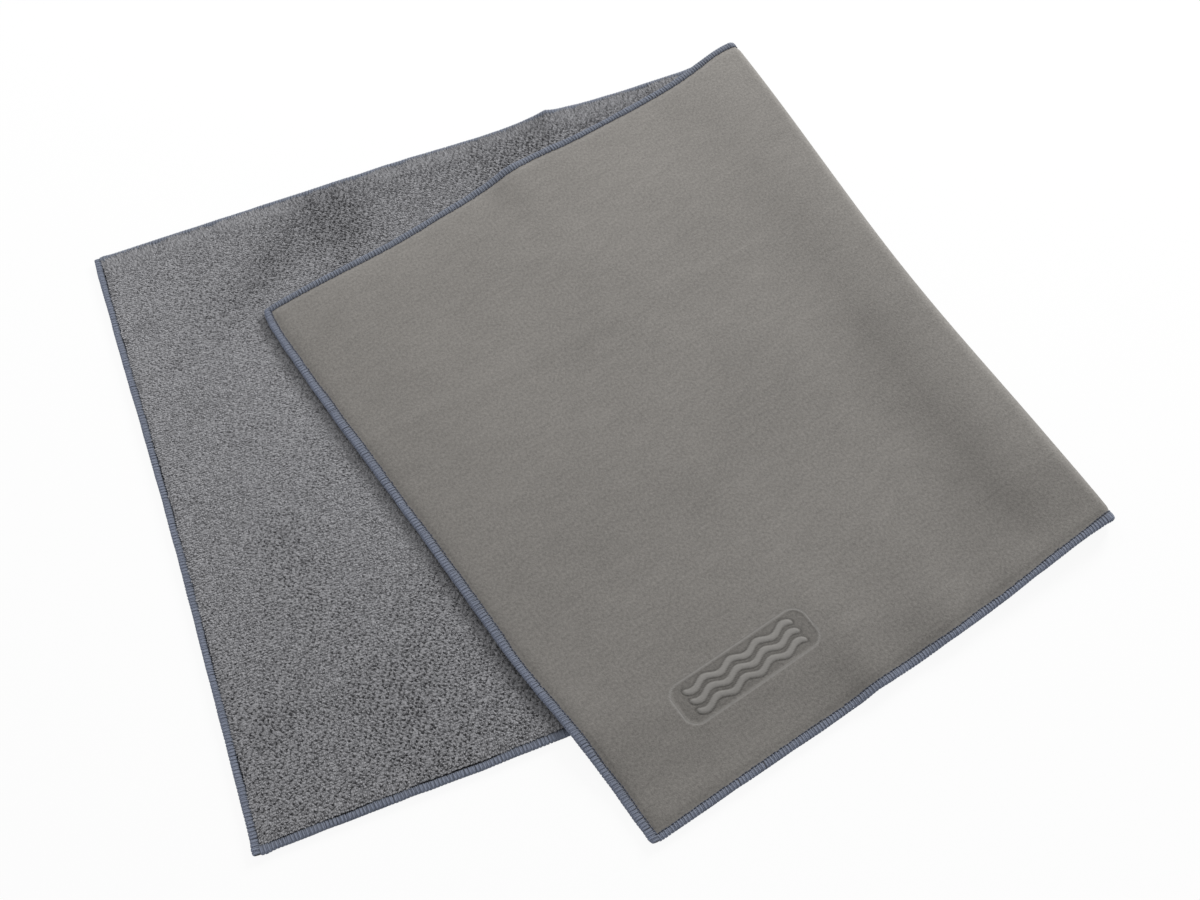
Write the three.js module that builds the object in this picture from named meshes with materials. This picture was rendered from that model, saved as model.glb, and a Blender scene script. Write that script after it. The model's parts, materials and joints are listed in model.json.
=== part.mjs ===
// Double-faced microfibre cloth, overlocked on its four sides and folded once, so that its upper
// half lies askew over the lower one and one corner hangs over onto the floor.
// Millimetres. X runs along the lower half's long sides, Y across them and Z up.
//
// Every piece is first laid out on the open cloth: "along" is the distance from the lower half's
// end, "across" the distance from the near side and "depth" the distance in from the suede face.
// The function onCloth then folds that place into space.
import * as THREE from "three";

// The cloth, lying open, over its seams
const CLOTH_LENGTH = 800;
const CLOTH_WIDTH = 400;
const SUEDE_THICKNESS = 0.7;
const PILE_THICKNESS = 2.6;
const LAYER_CLEARANCE = 0.2;

// The crease, by its distance from the lower half's end on the two long sides
const CREASE_AT_NEAR_SIDE = 488;
const CREASE_AT_FAR_SIDE = 442;

// The fold: a lower and an upper bend, then a slope from the ridge down to the flap. The seams
// pinch the bends at the two long sides, and between them the fold fills out.
const LOWER_RADIUS_AT_SIDES = 1.2;
const UPPER_RADIUS_AT_SIDES = 1.6;
const LOWER_RADIUS_AT_FULLEST = 3;
const UPPER_RADIUS_AT_FULLEST = 6;
const FULLEST_FROM_NEAR_SIDE = 50;
const SLOPE_LENGTH = 75;
// The folded edge draws in between its two ends, most at this distance from the near side
const FOLDED_EDGE_BOW = 5;
const DRAWN_IN_FROM_NEAR_SIDE = 190;
// Flat cloth beside the bends that belongs to the fold's pieces
const FOLD_MARGIN = 3;
const FLAP_CLEARANCE = 0.3;
const PIECE_CLEARANCE = 0.3;

// The overhanging corner comes down to the floor outside the lower half's near side
const DROOP_START = 2;
const DROOP_LENGTH = 45;

// The overlock seam, and the plies that it squeezes
const SEAM_WIDTH = 4.2;
const SEAM_CHAMFER = 0.4;
const LOOPER_THICKNESS = 0.55;
const NEEDLE_THREAD_WIDTH = 0.5;
const SQUEEZED_SUEDE = 0.5;
const SQUEEZED_PILE = 0.8;
const SQUEEZE_RAMP = 3.5;

// How finely the curved pieces are divided
const BEND_STEPS = 6;
const SLOPE_STEPS = 4;
const FLAP_STEPS = 12;
const FOLD_ROWS = 10;
const DROOP_STEPS = 7;

const clothThickness = SUEDE_THICKNESS + LAYER_CLEARANCE + PILE_THICKNESS;
const flapTop = 2 * clothThickness + FLAP_CLEARANCE;

// Depths in the seam, from the suede face to the pile face
const seamSuedeStart = Math.max(LOOPER_THICKNESS, NEEDLE_THREAD_WIDTH) + LAYER_CLEARANCE;
const seamSuedeEnd = seamSuedeStart + SQUEEZED_SUEDE;
const seamPileStart = seamSuedeEnd + LAYER_CLEARANCE;
const seamPileEnd = seamPileStart + SQUEEZED_PILE;
const seamThickness = seamPileEnd + LAYER_CLEARANCE + LOOPER_THICKNESS;

// Distances in from the edge of the cloth
const plyEdge = LOOPER_THICKNESS + LAYER_CLEARANCE;
const needleLine = SEAM_WIDTH + LAYER_CLEARANCE;
const seamMargin = needleLine + NEEDLE_THREAD_WIDTH + LAYER_CLEARANCE;
const fullPly = seamMargin + SQUEEZE_RAMP;

// The fold in section, as bends that follow each other along the suede face
function foldBends(lowerInner, upperInner) {
  const lower = lowerInner + clothThickness;
  const upper = upperInner + clothThickness;
  const slopeAngle = 2 * Math.atan((lower + upper - flapTop) / SLOPE_LENGTH);
  const slope = SLOPE_LENGTH / (2 * Math.sin(slopeAngle));
  const bends = [
    { radius: lower, turn: Math.PI / 2, steps: BEND_STEPS },
    { radius: upper, turn: Math.PI / 2, steps: BEND_STEPS },
    { radius: slope, turn: slopeAngle, steps: SLOPE_STEPS },
    { radius: slope, turn: -slopeAngle, steps: SLOPE_STEPS },
  ];
  const length = bends.reduce((sum, bend) => sum + bend.radius * Math.abs(bend.turn), 0);
  const reach = lower - upper - SLOPE_LENGTH;
  // the fold starts and ends at these distances from the crease on the open cloth
  const start = -(reach + length) / 2;
  return { bends, start, end: start + length };
}

// From 0 at the two long sides to 1 at a peak between them
function swell(across, peak) {
  const nearShare = across / peak;
  const farShare = (CLOTH_WIDTH - across) / (CLOTH_WIDTH - peak);
  return THREE.MathUtils.smoothstep(Math.min(nearShare, farShare), 0, 1);
}

function foldAt(across) {
  const full = swell(across, FULLEST_FROM_NEAR_SIDE);
  const lower = mix(LOWER_RADIUS_AT_SIDES, LOWER_RADIUS_AT_FULLEST, full);
  const upper = mix(UPPER_RADIUS_AT_SIDES, UPPER_RADIUS_AT_FULLEST, full);
  return foldBends(lower, upper);
}

const sideFold = foldBends(LOWER_RADIUS_AT_SIDES, UPPER_RADIUS_AT_SIDES);
const fullFold = foldBends(LOWER_RADIUS_AT_FULLEST, UPPER_RADIUS_AT_FULLEST);
const foldStart = Math.min(sideFold.start, fullFold.start) - FOLD_MARGIN;
const foldEnd = Math.max(sideFold.end, fullFold.end) + FOLD_MARGIN;

const creaseDirection = new THREE.Vector2(
  CREASE_AT_FAR_SIDE - CREASE_AT_NEAR_SIDE,
  CLOTH_WIDTH,
).normalize();
const acrossCrease = new THREE.Vector2(creaseDirection.y, -creaseDirection.x);

function mix(from, to, share) {
  return from + (to - from) * share;
}

// Place and heading of the suede face in the fold's section, by distance from the crease
function foldSection(fromCrease, across) {
  const { bends, start } = foldAt(across);
  let left = fromCrease - start;
  let reach = start;
  let height = 0;
  let heading = 0;
  for (const { radius, turn } of bends) {
    const angle = THREE.MathUtils.clamp(left / radius, 0, Math.abs(turn)) * Math.sign(turn);
    const side = radius * Math.sign(turn);
    reach += side * (Math.sin(heading + angle) - Math.sin(heading));
    height += side * (Math.cos(heading) - Math.cos(heading + angle));
    heading += angle;
    left -= radius * Math.abs(angle);
  }
  reach += left * Math.cos(heading);
  return { reach, height, heading };
}

// How far the fold is drawn in, from nothing where it starts and ends
function drawnIn(fromCrease, across) {
  const rise = THREE.MathUtils.smoothstep(fromCrease, foldStart, 0);
  const fall = 1 - THREE.MathUtils.smoothstep(fromCrease, 0, foldEnd);
  return FOLDED_EDGE_BOW * swell(across, DRAWN_IN_FROM_NEAR_SIDE) * rise * fall;
}

// How far the flap has come down at this distance outside the lower half's near side
function droop(y) {
  const share = THREE.MathUtils.smoothstep(-y - DROOP_START, 0, DROOP_LENGTH);
  return share * (clothThickness + FLAP_CLEARANCE);
}

function onCloth(along, across, depth) {
  const fromNearEnd = along - CREASE_AT_NEAR_SIDE;
  const alongCrease = fromNearEnd * creaseDirection.x + across * creaseDirection.y;
  const fromCrease = fromNearEnd * acrossCrease.x + across * acrossCrease.y;
  const section = foldSection(fromCrease, across);
  const drawn = drawnIn(fromCrease, across);
  const reach = section.reach - depth * Math.sin(section.heading) - drawn;
  const height = section.height + depth * Math.cos(section.heading);
  const x = CREASE_AT_NEAR_SIDE + alongCrease * creaseDirection.x + reach * acrossCrease.x;
  const y = alongCrease * creaseDirection.y + reach * acrossCrease.y;
  return new THREE.Vector3(x, y, height - droop(y));
}

// A line on the open cloth that keeps its distance from the crease
function besideCrease(distance) {
  return (across) => {
    const crease = mix(CREASE_AT_NEAR_SIDE, CREASE_AT_FAR_SIDE, across / CLOTH_WIDTH);
    return crease + distance / acrossCrease.x;
  };
}

function besideEnd(distance) {
  return () => distance;
}

function between(first, last, steps) {
  const inner = [];
  for (let step = 1; step < steps; step += 1) {
    inner.push((across) => mix(first(across), last(across), step / steps));
  }
  return [first, ...inner, last];
}

// Lines round the fold, where its bends are divided
function foldSteps() {
  const lines = [];
  sideFold.bends.forEach(({ steps }, number) => {
    for (let step = number ? 1 : 0; step <= steps; step += 1) {
      lines.push((across) => besideCrease(bendDistance(across, number, step / steps))(across));
    }
  });
  return lines;
}

// Distance from the crease to a share of one bend
function bendDistance(across, number, share) {
  const { bends, start } = foldAt(across);
  const lengths = bends.map(({ radius, turn }) => radius * Math.abs(turn));
  const before = lengths.slice(0, number).reduce((sum, length) => sum + length, 0);
  return start + before + lengths[number] * share;
}

const baseLast = besideCrease(foldStart - PIECE_CLEARANCE / 2);
const foldLines = [
  besideCrease(foldStart + PIECE_CLEARANCE / 2),
  ...foldSteps(),
  besideCrease(foldEnd - PIECE_CLEARANCE / 2),
];
const flapLines = between(
  besideCrease(foldEnd + PIECE_CLEARANCE / 2),
  besideEnd(CLOTH_LENGTH - fullPly),
  FLAP_STEPS,
);

function evenRows(first, last, steps) {
  return Array.from({ length: steps }, (_, step) => mix(first, last, (step + 1) / steps));
}

// Rows across the cloth: close together where the corner comes down to the floor
const overhang = Math.max(0, -onCloth(CLOTH_LENGTH, 0, 0).y);
const lastFull = CLOTH_WIDTH - fullPly;
const droopRows = overhang > 0 ? evenRows(fullPly, fullPly + overhang, DROOP_STEPS) : [];
const baseRows = [fullPly, lastFull];
const foldRows = [fullPly, ...droopRows, ...evenRows(fullPly + overhang, lastFull, FOLD_ROWS)];
const flapRows = [fullPly, ...droopRows, lastFull];

function plyRows(innerRows) {
  const farSide = [CLOTH_WIDTH - seamMargin, CLOTH_WIDTH - plyEdge];
  return [plyEdge, seamMargin, ...innerRows, ...farSide];
}

function edgeDistance(along, across) {
  return Math.min(along, CLOTH_LENGTH - along, across, CLOTH_WIDTH - across);
}

// A layer's two depths where it is full, and where the seam squeezes it
const suedeLayer = {
  full: [0, SUEDE_THICKNESS],
  squeezed: [seamSuedeStart, seamSuedeEnd],
};
const pileLayer = {
  full: [SUEDE_THICKNESS + LAYER_CLEARANCE, clothThickness],
  squeezed: [seamPileStart, seamPileEnd],
};

function layerDepth(layer, face, along, across) {
  const inside = (edgeDistance(along, across) - seamMargin) / SQUEEZE_RAMP;
  return mix(layer.squeezed[face], layer.full[face], THREE.MathUtils.clamp(inside, 0, 1));
}

function reshape(geometry, place) {
  const position = geometry.getAttribute("position");
  for (let i = 0; i < position.count; i += 1) {
    const point = place(position.getX(i), position.getY(i), position.getZ(i));
    position.setXYZ(i, point.x, point.y, point.z);
  }
  geometry.computeVertexNormals();
  return geometry;
}

// Splits the cells of a box's under side along the same diagonals as those of its upper side, so
// that plies which lie on each other stay parallel where they twist
function matchDiagonals(box) {
  const index = box.getIndex();
  const underSide = box.groups[5];
  for (let cell = underSide.start; cell < underSide.start + underSide.count; cell += 6) {
    const [a, b, d, , c] = index.array.slice(cell, cell + 6);
    index.array.set([a, b, c, a, c, d], cell);
  }
  return box;
}

// One ply over a patch of the cloth: a box whose divisions are laid on the patch's lines and rows
function plyGeometry(layer, lines, rows) {
  const columns = lines.length - 1;
  const bands = rows.length - 1;
  const box = matchDiagonals(new THREE.BoxGeometry(columns, bands, 1, columns, bands, 1));
  return reshape(box, (x, y, z) => {
    const across = rows[Math.round(y + bands / 2)];
    const along = lines[Math.round(x + columns / 2)](across);
    const face = z > 0 ? 1 : 0;
    return onCloth(along, across, layerDepth(layer, face, along, across));
  });
}

// A looper thread's band: flat on one face of the cloth and turned round its edge to the middle
function looperSection(face, inward) {
  const inner = face + inward * LOOPER_THICKNESS;
  const middle = (seamThickness - inward * LAYER_CLEARANCE) / 2;
  return new THREE.Shape([
    new THREE.Vector2(SEAM_WIDTH, face),
    new THREE.Vector2(SEAM_WIDTH, inner),
    new THREE.Vector2(LOOPER_THICKNESS, inner),
    new THREE.Vector2(LOOPER_THICKNESS, middle),
    new THREE.Vector2(0, middle),
    new THREE.Vector2(0, face + inward * SEAM_CHAMFER),
    new THREE.Vector2(SEAM_CHAMFER, face),
  ]);
}

function needleSection() {
  const last = needleLine + NEEDLE_THREAD_WIDTH;
  return new THREE.Shape([
    new THREE.Vector2(needleLine, 0),
    new THREE.Vector2(last, 0),
    new THREE.Vector2(last, NEEDLE_THREAD_WIDTH),
    new THREE.Vector2(needleLine, NEEDLE_THREAD_WIDTH),
  ]);
}

// A thread laid along a run of stations, each of which gives a place for a distance from the edge
function threadGeometry(section, run) {
  const steps = run.length - 1;
  const bar = new THREE.ExtrudeGeometry(section, { depth: steps, steps, bevelEnabled: false });
  return reshape(bar, (inset, depth, step) => {
    const [along, across] = run[Math.round(step)](inset);
    return onCloth(along, across, depth);
  });
}

function nearRun(lines) {
  return lines.map((line) => (inset) => [line(inset), inset]);
}

function farRun(lines) {
  const backwards = lines.toReversed();
  return backwards.map((line) => (inset) => [line(CLOTH_WIDTH - inset), CLOTH_WIDTH - inset]);
}

function baseEndRun(rows) {
  return rows.toReversed().map((across) => (inset) => [inset, across]);
}

function flapEndRun(rows) {
  return rows.map((across) => (inset) => [CLOTH_LENGTH - inset, across]);
}

function clothMaterial(color, roughness) {
  return new THREE.MeshStandardMaterial({ color, roughness, metalness: 0 });
}

function addPiece(group, name, geometry, material) {
  const mesh = new THREE.Mesh(geometry, material);
  mesh.name = name;
  group.add(mesh);
}

function addPlies(group) {
  const baseLines = [plyEdge, seamMargin, fullPly].map(besideEnd);
  const flapSeam = [CLOTH_LENGTH - seamMargin, CLOTH_LENGTH - plyEdge].map(besideEnd);
  const patches = {
    base: [[...baseLines, baseLast], plyRows(baseRows)],
    fold: [foldLines, plyRows(foldRows)],
    flap: [[...flapLines, ...flapSeam], plyRows(flapRows)],
  };
  for (const [patch, [lines, rows]] of Object.entries(patches)) {
    const suede = plyGeometry(suedeLayer, lines, rows);
    const pile = plyGeometry(pileLayer, lines, rows);
    addPiece(group, `suede_${patch}`, suede, clothMaterial(0x84827e, 0.95));
    addPiece(group, `pile_${patch}`, pile, clothMaterial(0x76767a, 1));
  }
}

// The end seams run the cloth's full width, and the long seams start inside them
function addSeams(group) {
  const longStart = seamMargin + LAYER_CLEARANCE;
  const longBase = [besideEnd(longStart), baseLast];
  const longFlap = [...flapLines, besideEnd(CLOTH_LENGTH - longStart)];
  const endRows = (inset, rows) => [inset, ...rows, CLOTH_WIDTH - inset];
  const runs = {
    base_end: (inset) => baseEndRun(endRows(inset, [])),
    near_base: () => nearRun(longBase),
    near_fold: () => nearRun(foldLines),
    near_flap: () => nearRun(longFlap),
    flap_end: (inset) => flapEndRun(endRows(inset, flapRows)),
    far_flap: () => farRun(longFlap),
    far_fold: () => farRun(foldLines),
    far_base: () => farRun(longBase),
  };
  for (const [seam, run] of Object.entries(runs)) {
    const threads = {
      needle_thread: threadGeometry(needleSection(), run(plyEdge)),
      upper_looper: threadGeometry(looperSection(0, 1), run(0)),
      lower_looper: threadGeometry(looperSection(seamThickness, -1), run(0)),
    };
    for (const [thread, geometry] of Object.entries(threads)) {
      addPiece(group, `${seam}_${thread}`, geometry, clothMaterial(0x687080, 0.8));
    }
  }
}

// The frame's origin is on the floor, under the middle of the folded cloth
function standOnFloor(group) {
  const box = new THREE.Box3().setFromObject(group);
  const middle = box.getCenter(new THREE.Vector3());
  for (const mesh of group.children) {
    mesh.geometry.translate(-middle.x, -middle.y, -box.min.z);
  }
}

const cloth = new THREE.Group();
cloth.name = "folded_cloth";
addPlies(cloth);
addSeams(cloth);
standOnFloor(cloth);

export default cloth;
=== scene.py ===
"""Folded double-faced microfibre cloth: its suede and pile plies and its overlock threads, on the CAD frame.

Every piece is laid out on the open cloth first. "along" is the distance from the lower half's end, "across"
the distance from the near side and "depth" the distance in from the suede face. FoldedCloth.place then folds
that place into space. Metres throughout.
"""

import json
import math

import bmesh
import bpy
import numpy as np
from mathutils import Matrix, Vector


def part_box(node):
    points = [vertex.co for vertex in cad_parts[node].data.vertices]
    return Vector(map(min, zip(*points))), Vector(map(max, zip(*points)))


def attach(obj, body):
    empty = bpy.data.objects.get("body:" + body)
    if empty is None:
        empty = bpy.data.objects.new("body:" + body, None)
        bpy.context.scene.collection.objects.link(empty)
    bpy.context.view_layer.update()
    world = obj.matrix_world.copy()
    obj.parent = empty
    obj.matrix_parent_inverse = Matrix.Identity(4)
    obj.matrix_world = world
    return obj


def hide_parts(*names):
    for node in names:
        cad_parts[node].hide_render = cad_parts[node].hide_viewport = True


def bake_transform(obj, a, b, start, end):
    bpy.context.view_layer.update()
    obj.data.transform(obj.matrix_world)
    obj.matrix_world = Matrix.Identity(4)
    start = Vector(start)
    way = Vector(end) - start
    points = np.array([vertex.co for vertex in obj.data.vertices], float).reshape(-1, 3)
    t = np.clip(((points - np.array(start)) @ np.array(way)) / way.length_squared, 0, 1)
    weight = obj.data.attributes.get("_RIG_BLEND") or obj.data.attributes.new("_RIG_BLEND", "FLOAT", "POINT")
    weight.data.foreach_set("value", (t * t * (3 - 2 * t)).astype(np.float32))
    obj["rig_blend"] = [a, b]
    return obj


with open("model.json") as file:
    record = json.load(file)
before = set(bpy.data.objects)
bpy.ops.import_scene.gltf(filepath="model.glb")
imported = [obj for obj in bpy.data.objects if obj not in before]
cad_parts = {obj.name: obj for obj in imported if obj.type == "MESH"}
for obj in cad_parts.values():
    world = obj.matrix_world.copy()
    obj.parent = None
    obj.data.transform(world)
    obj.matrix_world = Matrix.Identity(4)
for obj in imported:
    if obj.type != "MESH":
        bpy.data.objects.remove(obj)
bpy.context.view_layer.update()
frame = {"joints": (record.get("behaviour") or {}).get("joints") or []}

bl_info = {
    "name": "Folded microfibre cloth",
    "version": (1, 0, 0),
    "blender": (4, 5, 0),
    "location": "3D View > Sidebar > Cloth",
    "description": "Models a folded two-ply microfibre cloth with overlocked edges",
    "category": "Object",
}

MM = 0.001
END_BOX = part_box("base_end_upper_looper")
CORNER = Vector((END_BOX[0].x, END_BOX[0].y, 0))
HINGE = Vector(frame["joints"][0]["pos_m"])
PLIES = ("base", "fold", "flap")
# how far in from the edge the plies start, where the seam lets go of them and where they are full again
PLY_EDGE, SEAM_HOLD, PLY_FULL = 0.75 * MM, 4.6 * MM, 8.6 * MM
# the first row of a ply's grid past the close rows of the seam
INNER_ROW = 12 * MM
# depth of the suede ply and of the pile's backing in the seam
SUEDE_PRESS, BACKING_PRESS = 0.75 * MM, 1.6 * MM
# how much nearer to the suede the backing lies than the tufts' roots
BACKING_DROP = 0.5 * MM
# how far in from the edge the tufts start, and how far in they still lean over the seam
PILE_INSET, OVERHANG_REACH = 4.9 * MM, 6 * MM


def linear(red, green, blue):
    """Scene-linear colour of a display colour from 0 to 255"""
    shares = (red / 255, green / 255, blue / 255)
    return tuple(s / 12.92 if s < 0.04045 else ((s + 0.055) / 1.055) ** 2.4 for s in shares)


def size_property(name, description, default):
    """A length that the panel shows in the scene's units"""
    return bpy.props.FloatProperty(
        name=name,
        description=description,
        default=default,
        min=0,
        precision=5,
        unit="LENGTH",
        subtype="DISTANCE",
    )


def colour_property(name, description, red, green, blue):
    """A colour given as it is seen, from 0 to 255"""
    return bpy.props.FloatVectorProperty(
        name=name,
        description=description,
        default=linear(red, green, blue),
        size=3,
        min=0,
        max=1,
        subtype="COLOR",
    )


class ClothSettings(bpy.types.PropertyGroup):
    """Sizes and colours of the cloth and its fold"""

    length: size_property("Length", "Length of the open cloth", 0.8)
    width: size_property("Width", "Width of the open cloth", END_BOX[1].y - END_BOX[0].y)
    thickness: size_property("Thickness", "Thickness of both plies together", 3.5 * MM)
    suede_thickness: size_property("Suede ply", "Thickness of the suede ply", 0.6 * MM)
    backing_thickness: size_property("Pile backing", "Thickness of the knit that holds the pile", 0.45 * MM)
    flap_clearance: size_property("Flap gap", "Gap between the two halves", 0.3 * MM)
    crease_near: size_property("Crease, near side", "Lower half's end to the crease, at the near side", 0.488)
    crease_far: size_property("Crease, far side", "Lower half's end to the crease, at the far side", 0.442)
    lower_side: size_property("Lower bend, sides", "Radius of the lower bend at the sides", 4.7 * MM)
    upper_side: size_property("Upper bend, sides", "Radius of the upper bend at the sides", 5.1 * MM)
    lower_full: size_property("Lower bend, fullest", "Radius of the lower bend at its fullest", 6.5 * MM)
    upper_full: size_property("Upper bend, fullest", "Radius of the upper bend at its fullest", 9.5 * MM)
    fullest: size_property("Fullest at", "Distance from the near side to where the fold is fullest", 0.05)
    slope: size_property("Slope", "Run of the slope from the ridge to the flap", 75 * MM)
    fold_margin: size_property("Fold margin", "Flat cloth beside the bends that still is fold", 3 * MM)
    bow: size_property("Bow", "How far the folded edge draws in between its ends", 6 * MM)
    rounding: size_property("Corners", "How far the corners' tips are drawn in", 1.3 * MM)
    drawn_in: size_property("Drawn in at", "Near side to where the folded edge draws in most", 0.19)
    droop_start: size_property("Droop start", "Lower half's side to where the corner starts to drop", 2 * MM)
    droop_length: size_property("Droop", "Distance over which the corner comes down to the floor", 45 * MM)
    tent: size_property("Packing crease", "Height of the old packing crease at the far side", 6 * MM)
    ripple: size_property("Ripples", "Height of the ripples along the flap's near side", 2.2 * MM)
    wave: size_property("Waves", "Height of the slight waves all over the flap", 0.7 * MM)
    press: size_property("Pressed mark", "Depth of the pressed wave mark", 0.45 * MM)
    suede_colour: colour_property("Suede", "Colour of the suede face", 128, 125, 121)
    # the pressed nap's darker colour, also used as painted shade in the grooves beside the mark's waves
    pressed_and_groove_shade_colour: colour_property("Pressed suede", "Colour of the suede where it is pressed", 84, 82, 79)
    # the ironed nap's colour, also used as a painted highlight on the mark's rim
    smoothed_colour: colour_property("Smoothed suede", "Colour of suede ironed flat", 147, 145, 142)


class PileSettings(bpy.types.PropertyGroup):
    """Sizes and colours of the pile"""

    spacing: size_property("Spacing", "Distance between tufts", 1.3 * MM)
    ground: size_property("Ground", "Depth of the tufts' roots from the suede face", 1.5 * MM)
    height: size_property("Height", "Height of a tuft", 2.0 * MM)
    lean: size_property("Lean", "How far a tuft's tip leans over", 0.6 * MM)
    overhang: size_property("Overhang", "How far the outermost tufts lean over the seam", 1.3 * MM)
    tip_colour: colour_property("Tips", "Colour of the tufts' tips", 170, 170, 173)
    # painted shade: the dark colour down among the tufts stands in for the shade that falls there
    root_shade_colour: colour_property("Roots", "Colour between the tufts", 60, 60, 64)


class SeamSettings(bpy.types.PropertyGroup):
    """Sizes and colours of the overlock threads"""

    width: size_property("Width", "Width of the overlock band", 4.3 * MM)
    thickness: size_property("Thickness", "Thickness of the overlocked edge", 3.0 * MM)
    pitch: size_property("Pitch", "Distance between two stitches", 1.97 * MM)
    slant: size_property("Slant", "How far a strand's two ends lie apart along the seam", 0.4 * MM)
    strand_width: size_property("Strand width", "Width of a flattened looper strand", 1.35 * MM)
    strand_thickness: size_property("Strand thickness", "Thickness of a looper strand", 0.75 * MM)
    needle_width: size_property("Needle thread", "Thickness of the needle thread", 0.5 * MM)
    looper_colour: colour_property("Loopers", "Colour of the looper threads", 104, 109, 120)
    # painted highlight: the loopers' colour at the band's outer edge, lighter for the light that the edge
    # catches
    rubbed_colour: colour_property("Lit loopers", "Colour of the loopers at the edge", 143, 151, 171)
    needle_colour: colour_property("Needle", "Colour of the needle threads", 72, 77, 92)


def smooth(value, start, end):
    """Rises smoothly from 0 at start to 1 at end"""
    share = np.clip((value - start) / (end - start), 0, 1)
    return share * share * (3 - 2 * share)


def hump(value, middle, reach):
    """A round hump of height 1"""
    return np.exp(-(((value - middle) / reach) ** 2))


def humps(value, table):
    """Several humps together, each a row of height, middle and reach"""
    return sum(height * hump(value, middle, reach) for height, middle, reach in table)


def mix(first, last, share):
    """From first to last by share"""
    return first + (last - first) * share


def soft_noise(x, y, cell, seed):
    """Smooth noise from -1 to 1, with features of about one cell"""
    lattice = np.random.default_rng(seed).uniform(-1, 1, (64, 64))
    u, v = np.asarray(x) / cell + 7.3, np.asarray(y) / cell + 3.1
    i, j = np.floor(u).astype(int), np.floor(v).astype(int)
    s, t = smooth(u - i, 0, 1), smooth(v - j, 0, 1)
    low = mix(lattice[i % 64, j % 64], lattice[(i + 1) % 64, j % 64], s)
    high = mix(lattice[i % 64, (j + 1) % 64], lattice[(i + 1) % 64, (j + 1) % 64], s)
    return mix(low, high, t)


# bows of the long sides, inwards at the far one and outwards at the near one, as rows of millimetres,
# place along the cloth and reach
FAR_FLAP_BOWS = ((1.9, 0.712, 0.04), (-2.9, 0.615, 0.03))
NEAR_FLAP_BOWS = ((2.6, 0.6, 0.07), (1.3, 0.7, 0.05))
FAR_FOLD_BOWS = ((-4.6, 0.457, 0.026),)
NEAR_FOLD_BOWS = ((1.3, 0.488, 0.022),)
# the flap's old packing crease and the ripples of its near side, as rows of height share, place and reach
FLAP_RIDGE = ((0.7, 0.625, 0.012), (0.3, 0.625, 0.03))
FLAP_RIPPLES = ((1.0, 0.655, 0.013), (0.8, 0.603, 0.016), (0.5, 0.556, 0.02))
# how far in from a side or an end these shapes are felt
SIDE_REACH, BASE_END_REACH, RIDGE_REACH, RIPPLE_REACH, FREE_REACH = 0.06, 0.08, 0.03, 0.035, 0.025
# the extra bow of the folded edge at its near end, and its reach
NEAR_BOW, NEAR_BOW_REACH = 1.2 * MM, 0.12
# where along the cloth the flap starts to be drawn out
STRETCH_START = 0.56
# reach of a corner's rounding, and how much of it the lower half's corners have
CORNER_REACH, LOWER_CORNERS = 5 * MM, 0.15
# the lower half's packing crease: its place at the far side, its slant and its reach in from there
PUCKER_PLACE, PUCKER_SLANT, PUCKER_REACH = 0.302, 0.25, 0.024
# height and half width of the faint line that packing left along the flap
LINE_HEIGHT, LINE_REACH = 0.5 * MM, 0.006
# sizes of the broad and the small waves, and the height of those in the lower half
BROAD_WAVE, SMALL_WAVE, BASE_WAVE = 0.075, 0.03, 0.15 * MM
# distance from the crease over which the lower half's shapes give way to the flap's
FLAP_BLEND = 40 * MM


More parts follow.
